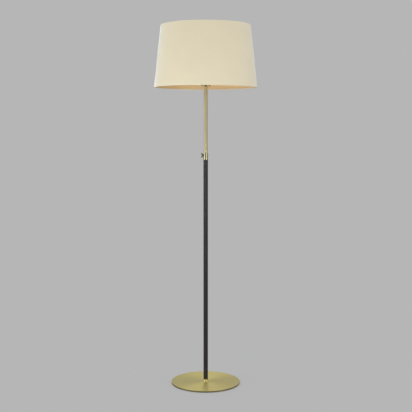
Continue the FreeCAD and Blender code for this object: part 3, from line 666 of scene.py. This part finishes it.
def dress_frame():
    """Gives each carried-over node the finish of its slot, or its own, which for the nipple and the foot ring
    holds painted shade.
    """
    slots = {part["node"]: part["material_slot"] for part in frame["record"]["subparts"]}
    for node, piece in frame["nodes"].items():
        material = MATERIALS[OWN_FINISH_AND_SHADE.get(node, slots[node])]
        for slot in piece.material_slots:
            slot.material = material


# ---------------------------------------------------------------- shade

# The cloth's thickness, and how far its outer face is from the top ring.
SHADE_SIDES = 240
FABRIC = 0.5 * MM
RING_COVER = 0.6 * MM

# The lap at the back: its width, and how far its open edge stands out.
SEAM_WIDTH = 12 * MM
SEAM_STEP = 0.45 * MM

# Shares of the lap's half width: where an edge starts to fall and has come down, where azimuths are, and
# how near the evenly spaced ones come.
LAP_TOP = 0.97
LAP_END = 1.04
LAP_SHARES = (0.0, 0.5, LAP_TOP, 1.0, LAP_END, 1.12)
LAP_CLEAR = 1.3

# The share of the step that the cloth rises over the lap's hidden edge.
UNDER_RISE = 0.3

# The hem goes round a ring in a roll. From its edge to the roll its points are heights from the rim and
# distances in from the outer face.
ROLL = 2.2 * MM
ROLL_STEPS = 14
HEM_FLAT = 12 * MM
HEM_IN = FABRIC + 0.9 * MM
HEM = ((HEM_FLAT + ROLL, HEM_IN), (3.4 * ROLL, HEM_IN), (2.6 * ROLL, HEM_IN + 0.3 * MM),
       (1.9 * ROLL, HEM_IN + 1.2 * MM))

# Where the outer face has points between the rolls, as shares of its height.
WALL_SHARES = (0.06, 0.12, 0.2, 0.3, 0.4, 0.5, 0.6, 0.7, 0.8, 0.88, 0.94)

# The slight wave of the cloth between the rings, and how deep under the outer face wave and lap end.
RIPPLE = 0.10 * MM
RIPPLE_WAVES = 3
RIPPLE_START = 1.0
STAND_DEPTH = 0.6 * FABRIC

# The lining: its thickness, how far in from the outer face it is, its rims, which are further in, and the
# heights of its points, which are shares of the shade's.
LINING_T = 0.4 * MM
LINING_IN = HEM_IN + FABRIC + 0.3 * MM
LINING_RIM = 2.0 * ROLL
LINING_RIM_IN = LINING_IN + 0.9 * MM
LINING_FOOT = 2.9 * ROLL
LINING_SHARES = (0.2, 0.4, 0.6, 0.8)
LINING_STEP = 0.7 * SEAM_STEP


class ShadeWall:
    """The shade's outer face: a cone from the foot, its lower rim, to the head, its upper rim."""

    def __init__(self):
        low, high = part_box("shade_fabric")
        self.foot = low[2]
        self.height = high[2] - low[2]
        self.foot_r = high[0]
        self.head_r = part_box("shade_top_ring")[1][0] + RING_COVER
        self.lean = math.atan2(self.foot_r - self.head_r, self.height)
        self.slant = math.hypot(self.height, self.foot_r - self.head_r)

    def radius(self, up):
        """The radius at a height above the foot."""
        return self.foot_r - (self.foot_r - self.head_r) * up / self.height

    def point(self, up, inward=0.0):
        """A (radius, height) point at a height above the foot, or inward of it."""
        return self.radius(up) - inward * math.cos(self.lean), self.foot + up - inward * math.sin(self.lean)

    def flat_size(self, hems):
        """The rectangle round the flat cut, which is a sector of a ring, with its lap and hems."""
        half_sector = math.pi * math.sin(self.lean)
        foot_arc = self.foot_r / math.sin(self.lean)
        head_arc = foot_arc - self.slant
        width = 2 * foot_arc * math.sin(half_sector) + SEAM_WIDTH
        return width, foot_arc - head_arc * math.cos(half_sector) + hems

    def flat_area(self, hems):
        """The area of the cut, whose length along the cone is its slant and its hems."""
        return math.pi * (self.foot_r + self.head_r) * (self.slant + hems)


def lap(azimuth, half, step):
    """How far the cloth stands out at an azimuth, with a step at the lap's open edge. It rises over the
    hidden edge, slopes up across the lap and falls at the open edge."""
    side = (azimuth - SEAM_AZIMUTH) / half
    fall = LAP_END - LAP_TOP
    if abs(side) >= LAP_END:
        return 0.0
    if side >= LAP_TOP:
        return step * (LAP_END - side) / fall
    if side < -LAP_TOP:
        return step * UNDER_RISE * (side + LAP_END) / fall
    return step * (UNDER_RISE + (1 - UNDER_RISE) * (side + LAP_TOP) / (2 * LAP_TOP))


def skin_line(wall):
    """The cloth's outer side, from the lower hem's edge round the bottom ring, up, and round the top ring
    to the upper hem's edge."""
    tilt = math.degrees(wall.lean)
    line = [wall.point(up, inward) for up, inward in HEM]
    line += arc(wall.point(ROLL, ROLL), ROLL, 180 + tilt, 360 + tilt, ROLL_STEPS)
    line += [wall.point(wall.height * share) for share in WALL_SHARES]
    line += arc(wall.point(wall.height - ROLL, ROLL), ROLL, tilt, 180 + tilt, ROLL_STEPS)
    line += [wall.point(wall.height - up, inward) for up, inward in reversed(HEM)]
    return line


def make_skin(wall, azimuths, half):
    """The cloth: a lapped cone with a hem round each ring, and a slight wave between the rings."""

    def reshape(radius, height, azimuth):
        """Adds the wave and the lap, in full on the outer face, and less and less under it."""
        up = height - wall.foot
        stand = 1.0 - (wall.radius(up) - radius) / STAND_DEPTH
        if stand <= 0.0:
            return radius, height
        wave = math.sin(RIPPLE_WAVES * math.radians(azimuth) + RIPPLE_START)
        ripple = RIPPLE * wave * math.sin(math.pi * up / wall.height)
        return radius + stand * (lap(azimuth, half, SEAM_STEP) + ripple), height

    section = thickened(skin_line(wall), FABRIC)
    skin = spun("shade_skin", section, azimuths, "shade_fabric", "shade", reshape)
    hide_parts("shade_fabric")
    hems = 2 * (HEM_FLAT + math.pi * ROLL)
    wall.flat_size(hems)
    wall.flat_area(hems)


def make_lining(wall, azimuths, half):
    """The tan lining inside the hems, between the two rings; its warm tan is partly painted light."""
    heights = [LINING_FOOT] + [wall.height * share for share in LINING_SHARES] + [wall.height - LINING_FOOT]
    line = [wall.point(LINING_RIM, LINING_RIM_IN)]
    line += [wall.point(up, LINING_IN) for up in heights]
    line.append(wall.point(wall.height - LINING_RIM, LINING_RIM_IN))

    def reshape(radius, height, azimuth):
        return radius - lap(azimuth, half, LINING_STEP), height

    lining = spun("shade_lining", thickened(line, LINING_T), azimuths, "shade_lining", "shade", reshape)
    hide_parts("shade_liner")
    wall.flat_size(0.0)
    wall.flat_area(0.0)


def make_shade():
    wall = ShadeWall()
    half = math.degrees(SEAM_WIDTH / wall.foot_r) / 2
    azimuths = azimuths_round(SHADE_SIDES, half, LAP_SHARES, LAP_CLEAR)
    make_skin(wall, azimuths, half)
    make_lining(wall, azimuths, half)


# ---------------------------------------------------------------- sleeve

# The leather's thickness, how far it lies inside the CAD node's face, and the bevel of its ends.
SLEEVE_T = 0.5 * MM
SLEEVE_INSET = 0.05 * MM
SLEEVE_EDGE = 0.25 * MM
SLEEVE_SIDES = 48
SLEEVE_STEPS = 60

# The butted seam: how far a lip is from its middle, and shares of that: where azimuths are, how near the
# evenly spaced ones come, and where the groove and the lips end.
LIP_HALF = 1.1 * MM
LIP_SHARES = (0.08, 0.25, 0.6, 1.0, 1.4, 2.0)
LIP_CLEAR = 2.2
GROOVE_END = 0.2
LIP_END = 1.7
GROOVE_DEPTH = 0.38 * MM
LIP_RISE = 0.16 * MM

# The lips' inner corners are rounded off.
CORNER_END = 0.3
CORNER_DROP = 0.10 * MM

# The cross stitches: how far apart they are, how far they reach to each side of the seam, and how far from
# the sleeve's ends they stay. One thread of each pair lies over the other.
STITCH_PITCH = 6.0 * MM
STITCH_HALF = 2.1 * MM
STITCH_END = 5.0 * MM
THREAD_R = 0.28 * MM
UNDER_LIFT = 0.6 * THREAD_R
OVER_LIFT = 1.7 * THREAD_R
HOLE_DEPTH = 0.35 * MM
STITCH_STEPS = 7
STITCH_SIDES = 6


def make_sleeve():
    """The leather, its two edges butted together down the back, and the cross stitches over them."""
    low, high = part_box("leather_sleeve")
    radius = (high[0] - low[0]) / 2 - SLEEVE_INSET
    half = math.degrees(LIP_HALF / radius)
    azimuths = azimuths_round(SLEEVE_SIDES, half, LIP_SHARES, LIP_CLEAR)
    rise = (high[2] - low[2]) / SLEEVE_STEPS
    heights = [low[2] + rise * k for k in range(1, SLEEVE_STEPS)]
    edge_r = radius - SLEEVE_EDGE
    section = [(edge_r, low[2]), (radius, low[2] + SLEEVE_EDGE)]
    section += [(radius, height) for height in heights]
    section += [(radius, high[2] - SLEEVE_EDGE), (edge_r, high[2])]
    section += [(radius - SLEEVE_T, high[2]), (radius - SLEEVE_T, low[2])]

    def reshape(r, height, azimuth):
        side = abs(azimuth - SEAM_AZIMUTH) / half
        if r < edge_r or side >= LIP_END:
            return r, height
        if side < GROOVE_END:
            return r - GROOVE_DEPTH, height
        swell = LIP_RISE * math.sin(math.pi * (side - GROOVE_END) / (LIP_END - GROOVE_END))
        drop = CORNER_DROP if side < CORNER_END else 0.0
        return r + swell - drop, height

    sleeve = spun("sleeve_leather", section, azimuths, "black_leather", "base", reshape)
    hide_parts("leather_sleeve")
    thread = make_stitches(radius + SLEEVE_INSET, low[2] + STITCH_END, high[2] - STITCH_END)


def make_stitches(radius, low, high):
    """Cross stitches of waxed thread over the seam, all in one piece."""
    points = []
    faces = []
    count = int((high - low) / STITCH_PITCH)
    pitch = (high - low) / count
    for k in range(count):
        foot, head = low + pitch * k, low + pitch * (k + 1)
        add_stitch(points, faces, radius, foot, head, UNDER_LIFT)
        add_stitch(points, faces, radius, head, foot, OVER_LIFT)
    return mesh_piece("sleeve_thread", points, faces, "thread", "base")


def stitch_line(radius, start, end, lift):
    """The middle of a stitch from one side of the seam to the other, from a start height to an end height,
    with its outward direction at each point. It dips into its holes at both ends."""
    line = []
    for j in range(STITCH_STEPS + 1):
        share = j / STITCH_STEPS
        turn = math.radians(SEAM_AZIMUTH) + STITCH_HALF * (2 * share - 1) / radius
        dip = HOLE_DEPTH if j in (0, STITCH_STEPS) else 0.0
        normal = Vector((math.cos(turn), math.sin(turn), 0))
        out = radius + lift * math.sin(math.pi * share) ** 0.5 - dip
        line.append((normal * out + Vector((0, 0, start + (end - start) * share)), normal))
    return line


def add_stitch(points, faces, radius, start, end, lift):
    """A short bent tube along a stitch's line, closed at both ends."""
    line = stitch_line(radius, start, end, lift)
    first = len(points)
    for j, (centre, normal) in enumerate(line):
        way = (line[min(j + 1, STITCH_STEPS)][0] - line[max(j - 1, 0)][0]).normalized()
        side = way.cross(normal).normalized()
        out = side.cross(way).normalized()
        for k in range(STITCH_SIDES):
            angle = 2 * math.pi * k / STITCH_SIDES
            points.append(tuple(centre + (side * math.cos(angle) + out * math.sin(angle)) * THREAD_R))
    for j in range(STITCH_STEPS):
        here = first + j * STITCH_SIDES
        there = here + STITCH_SIDES
        for k in range(STITCH_SIDES):
            after = (k + 1) % STITCH_SIDES
            faces.append((here + k, here + after, there + after, there + k))
    last = first + STITCH_STEPS * STITCH_SIDES
    faces.append(tuple(first + k for k in reversed(range(STITCH_SIDES))))
    faces.append(tuple(last + k for k in range(STITCH_SIDES)))


# ---------------------------------------------------------------- all together

make_camera()
bpy.context.scene.view_settings.view_transform = "Standard"
make_world()
make_lights()
make_floor()
make_materials()
dress_frame()
make_sleeve()
make_shade()
